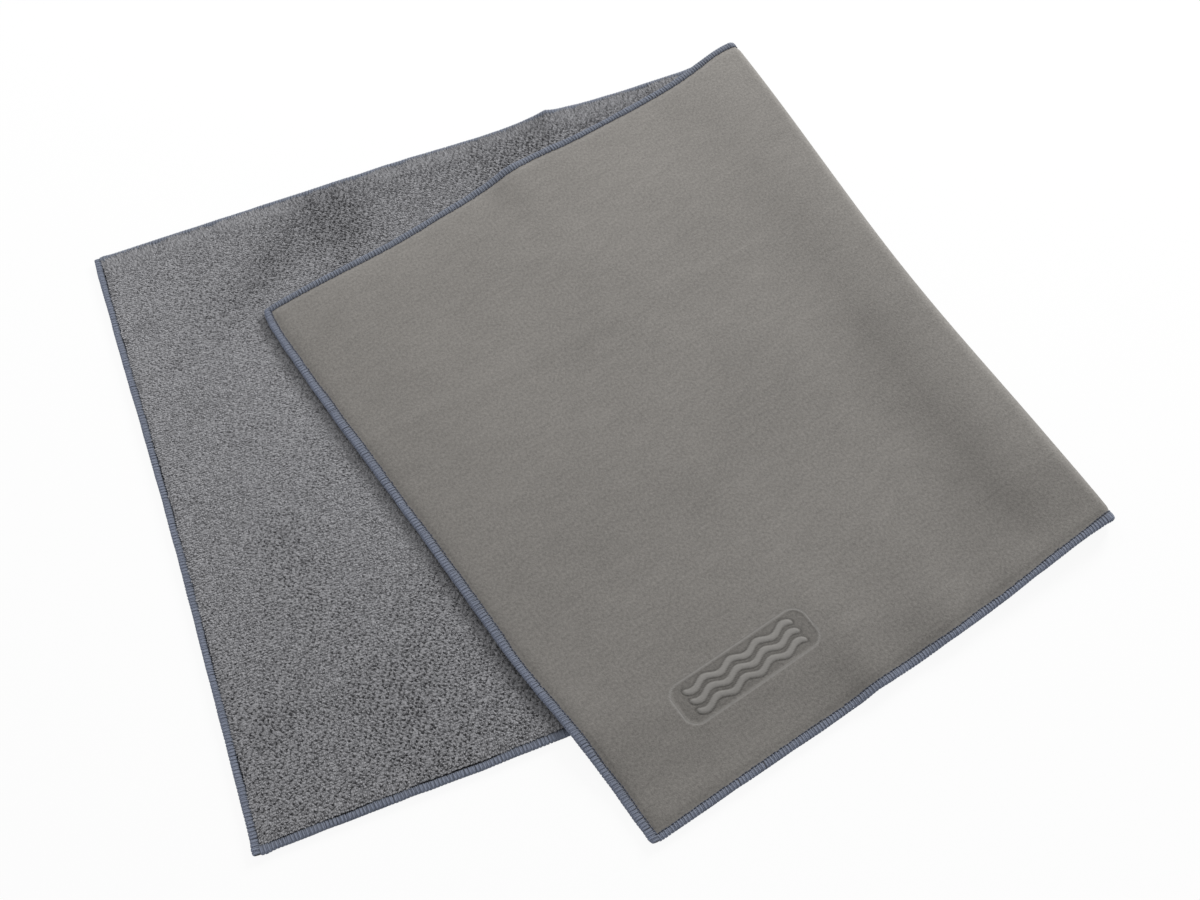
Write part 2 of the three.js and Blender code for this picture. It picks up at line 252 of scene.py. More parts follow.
class FoldedCloth:
    """Where places on the open cloth lie when it is folded"""

    def __init__(self, sizes):
        self.sizes = sizes
        self.crease = Vector((sizes.crease_far - sizes.crease_near, sizes.width)).normalized()
        self.outward = Vector((self.crease.y, -self.crease.x))
        self.flap_top = 2 * sizes.thickness + sizes.flap_clearance
        starts, ends = zip(self.limits(0.0), self.limits(sizes.fullest))
        self.fold_start = float(min(starts)) - sizes.fold_margin
        self.fold_end = float(max(ends)) + sizes.fold_margin
        hinge = (HINGE - CORNER).xy - Vector((sizes.crease_near, 0))
        self.hinge_reach, self.hinge_height = hinge.dot(self.outward), HINGE.z

    def from_crease(self, along, across):
        """Distance from the crease on the open cloth"""
        return (along - self.sizes.crease_near) * self.outward.x + across * self.outward.y

    def beside_crease(self, distance, across):
        """The place along the cloth that lies at this distance from the crease"""
        crease = mix(self.sizes.crease_near, self.sizes.crease_far, across / self.sizes.width)
        return crease + distance / self.outward.x

    def swell(self, across, peak):
        """From 0 at the two long sides to 1 at a peak between them"""
        inside = np.clip(across, 0, self.sizes.width)
        fall = (self.sizes.width - inside) / (self.sizes.width - peak)
        return smooth(np.minimum(inside / peak, fall), 0, 1)

    def bends(self, across):
        """Radii of the lower bend, the upper bend and the slope, and the slope's angle"""
        sizes, full = self.sizes, self.swell(across, self.sizes.fullest)
        lower = mix(sizes.lower_side, sizes.lower_full, full)
        upper = mix(sizes.upper_side, sizes.upper_full, full)
        angle = 2 * np.arctan((lower + upper - self.flap_top) / sizes.slope)
        return lower, upper, sizes.slope / (2 * np.sin(angle)), angle

    def limits(self, across):
        """Distances from the crease at which the fold starts and ends"""
        lower, upper, slope, angle = self.bends(across)
        length = math.pi / 2 * (lower + upper) + 2 * slope * angle
        start = -(lower - upper - self.sizes.slope + length) / 2
        return start, start + length

    def section(self, distance, across):
        """Reach, height and heading of the suede face in the fold's section"""
        lower, upper, slope, angle = self.bends(across)
        start, _ = self.limits(across)
        quarter = math.pi / 2 + 0 * angle
        arcs = ((lower, quarter, 1), (upper, quarter, 1), (slope, angle, 1), (slope, angle, -1))
        left, reach = distance - start, start + 0 * distance
        height, heading = 0 * distance, 0 * distance
        for radius, turn, sign in arcs:
            turned = np.clip(left / radius, 0, turn) * sign
            reach = reach + sign * radius * (np.sin(heading + turned) - np.sin(heading))
            height = height + sign * radius * (np.cos(heading) - np.cos(heading + turned))
            heading = heading + turned
            left = left - radius * np.abs(turned)
        drawn = smooth(distance, self.fold_start, 0) * (1 - smooth(distance, 0, self.fold_end))
        bow = self.sizes.bow * self.swell(across, self.sizes.drawn_in)
        bow = bow + NEAR_BOW * np.exp(-across / NEAR_BOW_REACH)
        return reach + left * np.cos(heading) - bow * drawn, height, heading

    def sideways(self, along, across, on_flap):
        """How far the long sides wander across the cloth"""
        far_base = 2.2 * smooth(along, 0.19, 0.27) * smooth(along, 0.43, 0.39)
        near_base = (1 + 1.1 * hump(along, 0.135, 0.06)) * smooth(along, 0.36, 0.24)
        far = mix(far_base, humps(along, FAR_FLAP_BOWS), on_flap) + humps(along, FAR_FOLD_BOWS)
        near = mix(near_base, humps(along, NEAR_FLAP_BOWS), on_flap) + humps(along, NEAR_FOLD_BOWS)
        far = far * np.exp((across - self.sizes.width) / SIDE_REACH)
        return -MM * (far + near * np.exp(-across / SIDE_REACH))

    def lengthways(self, along, across):
        """How far the two ends wander along the cloth. The flap's end is drawn out, most at its far corner"""
        length, width = self.sizes.length, self.sizes.width
        flap = 0.5 + 5.3 * smooth(across, 0.03, 0.14) + 2.2 * smooth(across, 0.19, 0.33)
        flap = flap - 2.7 * np.exp((across - width) / 0.012)
        base = 1.2 * hump(across, 0.21, 0.09) - 1.9 * np.exp(-across / 0.05)
        drawn = np.clip((along - STRETCH_START) / (length - STRETCH_START), 0, 1)
        return MM * (flap * drawn + base * np.exp(-along / BASE_END_REACH))

    def rounded(self, along, across):
        """The places with the corners' tips drawn in, those of the lower half hardly"""
        length, width = self.sizes.length, self.sizes.width
        inside = np.minimum(along, length - along) + np.minimum(across, width - across)
        share = np.where(along < length / 2, LOWER_CORNERS, 1)
        pull = share * self.sizes.rounding * np.exp(-np.maximum(inside, 0) / CORNER_REACH)
        return along + pull * np.sign(length / 2 - along), across + pull * np.sign(width / 2 - across)

    def pucker(self, x, y):
        """Height of the old packing crease in the lower half, strongest at the far side"""
        inwards = y - self.sizes.width
        beside = np.abs(x - PUCKER_PLACE - PUCKER_SLANT * inwards)
        ridge = 0.65 * np.exp(-beside / 0.01) + 0.35 * hump(beside, 0, 0.028)
        return self.sizes.tent * ridge * np.exp(np.minimum(inwards, 0) / PUCKER_REACH)

    def lift(self, along, across, x, y, on_flap):
        """How far the cloth stands off what it lies on"""
        sizes = self.sizes
        ridge = 0.5 * sizes.tent * humps(along, FLAP_RIDGE) * np.exp((across - sizes.width) / RIDGE_REACH)
        ripples = sizes.ripple * humps(along, FLAP_RIPPLES) * np.exp(-across / RIPPLE_REACH)
        line = mix(0.257, 0.28, (along - 0.505) / 0.28)
        packed = LINE_HEIGHT * hump(across, line, LINE_REACH) * smooth(along, 0.5, 0.56)
        waves = soft_noise(along, across, BROAD_WAVE, 3) + 0.5 * soft_noise(along, across, SMALL_WAVE, 4)
        free = 1 - np.exp((along - sizes.length) / FREE_REACH)
        on_top = ridge + ripples + packed + sizes.wave * (0.8 + 0.5 * waves) * free
        return self.pucker(x, y) + mix(BASE_WAVE * (1 + waves / 1.5), on_top, on_flap)

    def droop(self, y):
        """How far the corner outside the lower half has come down"""
        sizes = self.sizes
        drop = sizes.thickness + sizes.flap_clearance
        return smooth(-y - sizes.droop_start, 0, sizes.droop_length) * drop

    def place(self, along, across, depth):
        """Places in the frame, one row each"""
        spots = (np.asarray(value, float) for value in (along, across, depth))
        along, across, depth = np.broadcast_arrays(*spots)
        along, across = self.rounded(along, across)
        on_flap = smooth(self.from_crease(along, across), 0, FLAP_BLEND)
        moved = across + self.sideways(along, across, on_flap)
        drawn = along + self.lengthways(along, across)
        run = (drawn - self.sizes.crease_near) * self.crease.x + moved * self.crease.y
        reach, height, heading = self.section(self.from_crease(drawn, moved), across)
        reach = reach - depth * np.sin(heading)
        x = self.sizes.crease_near + run * self.crease.x + reach * self.outward.x
        y = run * self.crease.y + reach * self.outward.y
        z = height + depth * np.cos(heading) + self.lift(along, across, x, y, on_flap) - self.droop(y)
        return np.stack([x + CORNER.x, y + CORNER.y, z], -1)

    def weight(self, along, across):
        """Share of the flap's turn that each place takes, so that the opened fold lies down"""
        distance = self.from_crease(along, across)
        reach, height, _ = self.section(distance, across)
        reach, height = reach - self.hinge_reach, height - self.hinge_height
        drop = np.arcsin(np.clip(self.hinge_height / np.maximum(np.hypot(reach, height), MM), 0, 1))
        folded = np.arctan2(height, reach) + 2 * math.pi
        opened = np.where(folded < 1.5 * math.pi, math.pi + drop, 2 * math.pi - drop)
        turned = np.clip((folded - opened) / math.pi, 0, 1)
        turned = np.where(distance <= self.fold_start, 0, turned)
        return np.where(distance >= self.fold_end, 1, turned)


def folded_cloth():
    """The folded cloth at the scene's present sizes"""
    return FoldedCloth(bpy.context.scene.cloth_settings)


def seam_share(along, across, sizes):
    """From 0 in the seam to 1 where the plies are full"""
    edge = np.minimum(np.minimum(along, sizes.length - along), np.minimum(across, sizes.width - across))
    return smooth(edge, SEAM_HOLD, PLY_FULL)


def note_points(shape, **notes):
    """Notes values at a shape's points, each row of them under its name"""
    for name, values in notes.items():
        note = shape.verts.layers.float.new(name)
        for vert, value in zip(shape.verts, values):
            vert[note] = value


def place_points(shape, along, across, depth):
    """Moves a shape's points onto the folded cloth and notes where each lies on the open one"""
    for vert, spot in zip(shape.verts, folded_cloth().place(along, across, depth)):
        vert.co = spot
    note_points(shape, along=along, across=across)
    shape.normal_update()


def counted_grid(columns, rows):
    """A flat grid, and the column and row of each of its points"""
    grid = bmesh.new()
    bmesh.ops.create_grid(grid, x_segments=columns, y_segments=rows, size=1)
    spots = np.array([vert.co[:2] for vert in grid.verts])
    counts = np.rint((spots + 1) / 2 * (columns, rows)).astype(int)
    return grid, counts[:, 0], counts[:, 1]


def read_note(mesh, name):
    """An attribute of the mesh's points as an array"""
    values = np.zeros(len(mesh.vertices), np.float32)
    mesh.attributes[name].data.foreach_get("value", values)
    return values.astype(float)


def write_note(mesh, name, values):
    """Writes an attribute of the mesh's points"""
    note = mesh.attributes.get(name) or mesh.attributes.new(name, "FLOAT", "POINT")
    note.data.foreach_set("value", np.asarray(values, np.float32))


def new_object(name, data):
    """Makes an object in the scene"""
    made = bpy.data.objects.new(name, data)
    bpy.context.scene.collection.objects.link(made)
    return made


def shaped_object(name, shape, material):
    """Makes an object of a finished shape"""
    mesh = bpy.data.meshes.new(name)
    shape.to_mesh(mesh)
    shape.free()
    mesh.materials.append(material)
    return new_object(name, mesh)


def new_piece(name, shape, material):
    """Makes a smooth piece of the cloth with its material"""
    piece = shaped_object(name, shape, material)
    piece.data.shade_smooth()
    return piece


def bend_at_fold(piece, along, across):
    """Bends the piece from the lower half to the flap, by where its points lie on the open cloth"""
    folded = folded_cloth()
    middle = folded.sizes.width / 2
    ends = [folded.beside_crease(distance, middle) for distance in (folded.fold_start, folded.fold_end)]
    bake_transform(piece, "base", "flap", *(Vector(folded.place(end, middle, 0.0)) for end in ends))
    write_note(piece.data, "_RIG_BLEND", folded.weight(along, across))


def stepped(*stretches):
    """Numbers that run through stretches of (first, last, steps), each number once"""
    runs = [np.linspace(first, last, steps, endpoint=False) for first, last, steps in stretches]
    return np.append(np.concatenate(runs), stretches[-1][1])


def ply_grid(columns, rows):
    """A grid over the whole cloth. Columns count the stretches between the bounds from 0 to 5"""
    folded = folded_cloth()
    sizes = folded.sizes
    grid, column, row = counted_grid(len(columns) - 1, len(rows) - 1)
    across = rows[row]
    edge, margin = PLY_EDGE + 0 * across, PLY_FULL + 0 * across
    fold = [folded.beside_crease(distance, across) for distance in (folded.fold_start, folded.fold_end)]
    bounds = np.stack([edge, margin, *fold, sizes.length - margin, sizes.length - edge])
    stretch = np.minimum(columns[column].astype(int), 4)
    each = np.arange(len(across))
    along = mix(bounds[stretch, each], bounds[stretch + 1, each], columns[column] - stretch)
    return grid, along, across


def side_rows(inner):
    """Rows across the cloth, close together at the two seams"""
    width = bpy.context.scene.cloth_settings.width
    near = stepped((PLY_EDGE, PLY_FULL, 6))
    return np.concatenate([near, inner, (width - near)[::-1]])


# the mark's middle, half size, corner radius, and the waves' middle lines, half length, swing and wave length
MARK_MIDDLE = (0.7065, 0.0485)
MARK_HALF = (0.042, 0.0115)
MARK_CORNER = 7 * MM
MARK_WAVES = (-6 * MM, 0, 6 * MM)
WAVE_REACH, WAVE_SWING, WAVE_LENGTH = 33 * MM, 1.4 * MM, 17 * MM
# how far from its border the panel starts to sink and is full, and the same for a wave from its middle line
PANEL_SLOPE, WAVE_SLOPE = (0.1 * MM, -0.9 * MM), (2.0 * MM, 1.2 * MM)
# place and reach of the rim outside the border, which gets a painted highlight, and of the groove beside a
# wave, which gets painted shade
MARK_RIM, MARK_GROOVE = (0.6 * MM, 0.5 * MM), (2.2 * MM, 0.5 * MM)
# the fine stretches of the suede's grid at the mark: columns and rows, and how many steps each has
MARK_COLUMNS, MARK_COLUMN_STEPS = (3.39, 3.82), 130
MARK_ROWS, MARK_ROW_STEPS = (35.5 * MM, 61.5 * MM), 38


def pressed_mark(along, across):
    """Depth of the pressed mark, three raised waves on a sunk panel; its dark share, the pressed nap with
    painted shade in the grooves; and its light share, the ironed waves with a painted highlight on the rim
    """
    x, y = along - MARK_MIDDLE[0], across - MARK_MIDDLE[1]
    over = np.abs(x) - MARK_HALF[0] + MARK_CORNER, np.abs(y) - MARK_HALF[1] + MARK_CORNER
    outside = np.hypot(*(np.maximum(side, 0) for side in over))
    outside = outside + np.minimum(np.maximum(*over), 0) - MARK_CORNER
    lines = [y - level - WAVE_SWING * np.sin(2 * math.pi * x / WAVE_LENGTH) for level in MARK_WAVES]
    from_wave = np.hypot(np.min(np.abs(lines), axis=0), np.maximum(np.abs(x) - WAVE_REACH, 0))
    panel, rim = smooth(outside, *PANEL_SLOPE), hump(outside, *MARK_RIM)
    band, groove = smooth(from_wave, *WAVE_SLOPE), panel * hump(from_wave, *MARK_GROOVE)
    sunk = panel * (1 - band)
    # the dark share adds painted shade in the grooves, and the light share adds a painted highlight on the
    # rim
    return 0.7 * sunk + 0.4 * groove, 0.3 * sunk + 0.6 * groove, np.maximum(0.7 * band * panel, 0.9 * rim)


class CLOTH_OT_suede_ply(bpy.types.Operator):
    """Model the suede ply, one sheet round the fold"""

    bl_idname = "cloth.suede_ply"
    bl_label = "Suede ply"

    def execute(self, context):
        sizes = context.scene.cloth_settings
        columns = stepped(
            (0, 1, 5),
            (1, 2, 76),
            (2, 3, 64),
            (3, MARK_COLUMNS[0], 16),
            (*MARK_COLUMNS, MARK_COLUMN_STEPS),
            (MARK_COLUMNS[1], 4, 8),
            (4, 5, 5),
        )
        rows = stepped(
            (INNER_ROW, MARK_ROWS[0], 6),
            (*MARK_ROWS, MARK_ROW_STEPS),
            (MARK_ROWS[1], sizes.width - INNER_ROW, 82),
        )
        grid, along, across = ply_grid(columns, side_rows(rows))
        mark, dark, ironed_and_rim_lit = pressed_mark(along, across)
        bmesh.ops.reverse_faces(grid, faces=grid.faces)
        depth = SUEDE_PRESS * (1 - seam_share(along, across, sizes)) + sizes.press * mark
        place_points(grid, along, across, depth)
        # pressed holds painted shade in the grooves as well as the pressed nap, and the other note holds a
        # painted highlight on the rim as well as the ironed waves
        note_points(grid, pressed=dark, smoothed=ironed_and_rim_lit)
        bmesh.ops.solidify(grid, geom=grid.faces[:], thickness=sizes.suede_thickness)
        piece = new_piece("suede_ply", grid, suede_material())
        bend_at_fold(piece, read_note(piece.data, "along"), read_note(piece.data, "across"))
        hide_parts(*(f"suede_{part}" for part in PLIES))
        return {"FINISHED"}


class CLOTH_OT_pile_backing(bpy.types.Operator):
    """Model the knit that holds the pile, one sheet round the fold"""

    bl_idname = "cloth.pile_backing"
    bl_label = "Pile backing"

    def execute(self, context):
        sizes, pile = context.scene.cloth_settings, context.scene.pile_settings
        columns = stepped((0, 1, 5), (1, 2, 90), (2, 3, 42), (3, 4, 48), (4, 5, 5))
        rows = side_rows(stepped((INNER_ROW, sizes.width - INNER_ROW, 78)))
        grid, along, across = ply_grid(columns, rows)
        depth = mix(BACKING_PRESS, pile.ground - BACKING_DROP, seam_share(along, across, sizes))
        place_points(grid, along, across, depth)
        bmesh.ops.solidify(grid, geom=grid.faces[:], thickness=sizes.backing_thickness)
        piece = new_piece("pile_backing", grid, backing_material())
        bend_at_fold(piece, read_note(piece.data, "along"), read_note(piece.data, "across"))
        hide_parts(*(f"pile_{part}" for part in PLIES))
        return {"FINISHED"}


def spread_out(shape, random):
    """Spots of a grid chosen evenly at random, none of them beside another except along one slant"""
    chances, chosen = random.uniform(0, 1, shape), np.zeros(shape, bool)
    beside = ((1, 0), (-1, 0), (0, 1), (0, -1), (1, -1), (-1, 1))
    for _ in range(4):
        crowded = np.any([chosen, *(np.roll(chosen, step, (0, 1)) for step in beside)], axis=0)
        chances[crowded] = 0
        chosen |= chances > np.max([np.roll(chances, step, (0, 1)) for step in beside], axis=0)
    return chosen


# range of the clefts' depths, a cleft's depth in the next cell on the slant, and how far a point is shaken
CLEFT_DEPTHS, CLEFT_TAIL, SHAKE = (0.35, 1), 0.5, 0.84
# a point this far out on the flat grid, which runs from -1 to 1, lies on its border
BORDER = 0.999


def tuft_grid(columns, rows, random):
    """A shaken grid whose half cells are drawn up to points. "tip" is 1 there, "pit" is a cleft's depth"""
    tufts, column, row = counted_grid(columns, rows)
    shape = (columns + 1, rows + 1)
    depths = random.uniform(*CLEFT_DEPTHS, shape) * spread_out(shape, random)
    clefts = np.maximum(depths[column, row], CLEFT_TAIL * depths[column - 1, row - 1])
    note_points(tufts, pit=clefts)
    shakes = random.uniform(-SHAKE, SHAKE, (len(tufts.verts), 2)) / (columns, rows)
    for vert, shake in zip(tufts.verts, shakes):
        for axis in (0, 1):
            if abs(vert.co[axis]) < BORDER:
                vert.co[axis] += shake[axis]
    bmesh.ops.triangulate(tufts, faces=tufts.faces, quad_method="BEAUTY")
    tip = tufts.verts.layers.float.new("tip")
    for vert in bmesh.ops.poke(tufts, faces=tufts.faces[:])["verts"]:
        vert[tip] = 1
    return tufts


def brushed_down(along, across):
    """How far the pile is brushed down, and how far it is turned away from the light"""
    flat = smooth(across + 0.15 * along, -0.12, 0.3)
    ruffled = smooth(across + 0.5 * along, 0.3, 0.57) * smooth(along, 0.52, 0.44)
    parting = hump(along, 0.15, 0.018) * smooth(across, 0.32, 0.36)
    swept = hump(0.8 * (across - 0.345) - 0.6 * (along - 0.093), 0, 0.014) * hump(along, 0.1, 0.04)
    turned = 0.7 * ruffled + 0.8 * parting + 0.6 * swept
    return flat - 0.6 * turned, turned


# a grid cell's sides as shares of the tufts' spacing
CELL_LENGTH, CELL_WIDTH = 0.87, 1.15
# sizes of the nap's broad and small patches
BROAD_NAP, SMALL_NAP = 0.034, 0.013
# heading of the nap on the open cloth, how far its patches turn it and how far a tuft strays, in radians
NAP_HEADING, NAP_TURN, TUFT_TURN = -2.2, 1.1, 1.1
# the share of the overhang that tufts have, how far they stray from it and over what length
OVERHANG_SHARE, OVERHANG_STRAY, OVERHANG_CELL = 1.15, 0.95, 7 * MM
# how many times further the lower half's far tufts lean over the seam, from where to where along the cloth
# that sets in, and the most that they do
FAR_OVERHANG, FAR_OVERHANG_START, FAR_OVERHANG_MOST = 6.2, (0.46, 0.4), 4.2 * MM
# how much lower the tips beside the seam are, and how far any tip may pass the cloth's thickness
EDGE_DROP, TIP_PASS = 0.35 * MM, 0.05 * MM


class TuftPatch:
    """Tufts over one patch of the cloth, from one line along it to another"""

    def __init__(self, name, lines, rows, seed):
        self.name, self.lines, self.rows = name, lines, rows
        self.random = np.random.default_rng(seed)
        spacing = bpy.context.scene.pile_settings.spacing
        middle = (rows[0] + rows[1]) / 2
        self.counts = (
            round(float(lines[1](middle) - lines[0](middle)) / (CELL_LENGTH * spacing)),
            round((rows[1] - rows[0]) / (CELL_WIDTH * spacing)),
        )

    def build(self, material):
        """Makes the patch's piece, and says where its points are rooted on the open cloth"""
        piece = new_piece(self.name, tuft_grid(*self.counts, self.random), material)
        mesh = piece.data
        mesh.shade_flat()
        flat = np.zeros(len(mesh.vertices) * 3, np.float32)
        mesh.vertices.foreach_get("co", flat)
        shares = (flat.reshape(-1, 3)[:, :2] + 1) / 2
        across = mix(*self.rows, shares[:, 1])
        along = mix(self.lines[0](across), self.lines[1](across), shares[:, 0])
        self.raise_tufts(mesh, along, across)
        unfold_map(mesh, shares)
        return piece, (along, across)

    def raise_tufts(self, mesh, along, across):
        """Leans and raises the tufts' tips and notes how light each point is"""
        sizes, pile = bpy.context.scene.cloth_settings, bpy.context.scene.pile_settings
        tip, pit = read_note(mesh, "tip"), read_note(mesh, "pit")
        chance = self.random.uniform(0, 1, (4, len(tip)))
        nap = soft_noise(along, across, BROAD_NAP, 11) + 0.35 * soft_noise(along, across, SMALL_NAP, 12)
        brushed, turned = brushed_down(along, across)
        matted = np.clip(brushed + 0.3 * nap, 0, 1)
        heading = NAP_HEADING + NAP_TURN * nap + mix(-TUFT_TURN, TUFT_TURN, chance[0])
        lean = pile.lean * tip * mix(0.4, 1.2, chance[1])
        uneven = OVERHANG_SHARE + OVERHANG_STRAY * soft_noise(along, across, OVERHANG_CELL, 13)
        outward = tip * pile.overhang * uneven
        spots = (along, sizes.length - along, across, sizes.width - across)
        base_end, flap_end, near, far = (outward * np.exp(-spot / OVERHANG_REACH) for spot in spots)
        further = mix(1.0, FAR_OVERHANG, smooth(along, *FAR_OVERHANG_START))
        far = np.minimum(far * further, FAR_OVERHANG_MOST)
        leaned = (
            along + lean * np.cos(heading) - (base_end - flap_end),
            across + lean * np.sin(heading) - (near - far),
        )
        full = seam_share(along, across, sizes)
        filled = np.clip(1 - 0.2 * chance[2] - mix(1.05, 0.22, matted) * pit, 0, 1)
        root = pile.ground + mix(0.6, 0.85, full) * pile.height * filled
        top = pile.ground + pile.height * mix(0.85, 1.0, chance[2]) * (1 + 0.05 * nap)
        top = np.minimum(mix(top - EDGE_DROP, top, full), sizes.thickness + TIP_PASS)
        depth = np.where(tip == 0, root, top)
        mesh.vertices.foreach_set("co", folded_cloth().place(*leaned, depth).astype(np.float32).ravel())
        mesh.update()
        # the tip share sets the painted shade between the tufts: darkest at open roots, lighter where a root
        # is filled up
        write_note(mesh, "tip", np.maximum(tip, 0.9 * filled))
        shade = mix(mix(0.05, 0.6, chance[3] ** 0.4), 0.65, 0.8 * matted) + 0.1 * nap - 0.5 * turned
        write_note(mesh, "shade", shade)
        mesh.attributes.remove(mesh.attributes["pit"])


def unfold_map(mesh, shares):
    """A UV map on which every tuft has its own place"""
    corners = np.zeros(len(mesh.loops), np.int32)
    mesh.loops.foreach_get("vertex_index", corners)
    mesh.uv_layers.new(name="OFBake").data.foreach_set("uv", shares[corners].astype(np.float32).ravel())


class CLOTH_OT_pile_tufts(bpy.types.Operator):
    """Model the pile, tuft by tuft, in patches on the lower half, the fold and the flap"""

    bl_idname = "cloth.pile_tufts"
    bl_label = "Pile tufts"

    def execute(self, context):
        folded = folded_cloth()
        sizes = folded.sizes
        rows = (PILE_INSET, sizes.width - PILE_INSET)
        starts = (
            lambda across: PILE_INSET + 0 * across,
            lambda across: folded.beside_crease(folded.fold_start, across),
        )
        ends = (
            lambda across: folded.beside_crease(folded.fold_end, across),
            lambda across: sizes.length - PILE_INSET + 0 * across,
        )
        material = pile_material()
        for number in range(4):
            part = [mix(*rows, share / 4) for share in (number, number + 1)]
            piece, _ = TuftPatch(f"pile_tufts_base_{number + 1}", starts, part, 20 + number).build(material)
            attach(piece, "base")
        piece, rooted = TuftPatch("pile_tufts_fold", (starts[1], ends[0]), rows, 30).build(material)
        bend_at_fold(piece, *rooted)
        for number in range(2):
            part = [mix(*rows, share / 2) for share in (number, number + 1)]
            piece, _ = TuftPatch(f"pile_tufts_flap_{number + 1}", ends, part, 40 + number).build(material)
            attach(piece, "flap")
        return {"FINISHED"}


def seam_place(side, run, inset):
    """Places along and across the cloth of a distance along a side's edge and a distance in from it"""
    sizes = bpy.context.scene.cloth_settings
    return {
        "near": (run, inset),
        "far": (run, sizes.width - inset),
        "base_end": (inset, run),
        "flap_end": (sizes.length - inset, run),
    }[side]


# where an end seam starts, and where a long one does as a share of the band's width
END_SEAM_START, LONG_SEAM_START = 0.9 * MM, 0.9


def side_length(side):
    """Start and end of a side's seam. The end seams run the full width, the long ones start inside them"""
    sizes, seam = bpy.context.scene.cloth_settings, bpy.context.scene.seam_settings
    if side in ("near", "far"):
        return seam.width * LONG_SEAM_START, sizes.length - seam.width * LONG_SEAM_START
    return END_SEAM_START, sizes.width - END_SEAM_START


def thread(path, outward, half_width, half_thickness, around=6):
    """Sections of a flattened thread round a path, and the distance run at each, all on the open cloth"""
    tangent = np.gradient(path, axis=0)
    tangent /= np.linalg.norm(tangent, axis=1, keepdims=True)
    broad = np.cross(tangent, outward)
    broad /= np.linalg.norm(broad, axis=1, keepdims=True)
    high = np.cross(broad, tangent)
    angle = np.linspace(0, 2 * math.pi, around + 1)[None, :, None]
    ring = path[:, None] + broad[:, None] * half_width[:, None, None] * np.cos(angle)
    ring = ring + high[:, None] * half_thickness[:, None, None] * np.sin(angle)
    steps = np.linalg.norm(np.diff(path, axis=0), axis=1)
    return ring, np.concatenate([[0], np.cumsum(steps)])


# inset and height as shares of the band's width and half thickness, the strand's lean in degrees, and the
# share of its width
LOOPER_PATH = np.array([
    (1.10, 0.25, 0, 0.45),
    (0.97, 0.76, 0, 0.85),
    (0.62, 0.97, 0, 1.00),
    (0.30, 0.90, 12, 1.00),
    (0.14, 0.58, 48, 0.95),
    (0.10, 0.00, 90, 0.50),
])
# each side's share of the band's usual width. The near side has one on the lower half, another on the flap
# and a hump at the fold
BITES = {"far": 1.0, "base_end": 0.95, "flap_end": 1.06}
NEAR_BITES, NEAR_FOLD_BITE = (0.94, 0.82), ((0.26, 0.488, 0.02),)
# how far the band's width strays, and over what length
BITE_STRAY, BITE_CELL = 0.12, 18 * MM


def bite(side, run):
    """How wide the band is at a place along a seam, as a share of its usual width"""
    uneven = BITE_STRAY * soft_noise(run, 0, BITE_CELL, 9)
    if side == "near":
        return uneven + mix(*NEAR_BITES, smooth(run, 0.44, 0.52)) + humps(run, NEAR_FOLD_BITE)
    return uneven + BITES[side]


# the thicker start of a seam: its place, reach, extra height, extra width and step outwards
KNOT_PLACE, KNOT_REACH, KNOT_HEIGHT, KNOT_WIDTH, KNOT_STEP = 2.5 * MM, 3 * MM, 0.15, 0.25, 0.7 * MM
# heights of a stitch's two strands, and how far the band's edge bulges and over what length
STRAND_HEIGHTS, EDGE_BULGE, BULGE_CELL = (1.0, 0.8), 0.18 * MM, 9 * MM
# how far a strand strays along the seam, in width, in height and in slant
STRAY_RUN, STRAY_WIDTH, STRAY_HEIGHT, STRAY_SLANT = 0.1 * MM, 0.06, 0.04, 0.15 * MM


def looper_path(side, seed):
    """A looper thread's path: out over one face to the edge, round it and back, two strands to a stitch"""
    seam, random = bpy.context.scene.seam_settings, np.random.default_rng(seed)
    start, end = side_length(side)
    strands = 2 * round((end - start) / seam.pitch)
    bulge = EDGE_BULGE * soft_noise(np.arange(strands) * seam.pitch / 2, 0, BULGE_CELL, seed)
    rows = []
    for strand in range(strands):
        shape = LOOPER_PATH if strand % 2 == 0 else LOOPER_PATH[::-1]
        shake = random.normal(0, 1, 4)
        middle = start + (end - start) * (strand + 0.5) / strands + STRAY_RUN * shake[0]
        knot = hump(middle, start + KNOT_PLACE, KNOT_REACH)
        width, slant = 1 + STRAY_WIDTH * shake[1], seam.slant + STRAY_SLANT * shake[3]
        height = STRAND_HEIGHTS[strand % 2] + STRAY_HEIGHT * min(shake[2], 1) + KNOT_HEIGHT * knot
        for inset, level, lean, broad in shape:
            run = middle + slant * (0.5 - inset)
            reach = inset * seam.width * bite(side, run) * (1 + KNOT_WIDTH * knot)
            reach = reach - bulge[strand] - KNOT_STEP * knot
            rows.append((run, reach, level * height, lean, broad * width))
    return np.array(rows)


def looper_shape(side, face, seed):
    """A looper thread as a closed tube, laid on the folded cloth"""
    seam = bpy.context.scene.seam_settings
    path = looper_path(side, seed)
    half = (seam.thickness - seam.strand_thickness) / 2
    spots = np.stack([path[:, 0], path[:, 1], path[:, 2] * half], -1)
    lean = np.radians(path[:, 3])
    outward = np.stack([0 * lean, -np.sin(lean), np.cos(lean)], -1)
    taper = np.ones(len(path))
    taper[[0, -1]] = 0
    half_width, half_thickness = path[:, 4] * seam.strand_width / 2, seam.strand_thickness / 2
    rings, run = thread(spots, outward, half_width * taper, half_thickness * taper)
    return thread_shape(side, rings, run, lambda level: seam.thickness / 2 + face * level, spots)


# the needle thread's inset as a share of the band's width and how far it strays from it
NEEDLE_INSET, NEEDLE_STRAY = 1.09, 0.12 * MM
# its depth from the full suede face, how much deeper it dips at a stitch and over what share of a stitch
NEEDLE_DEPTH, NEEDLE_DIP, DIP_REACH = 0.35 * MM, 0.9 * MM, 0.16
# points to a stitch of the needle thread
NEEDLE_STEPS = 6


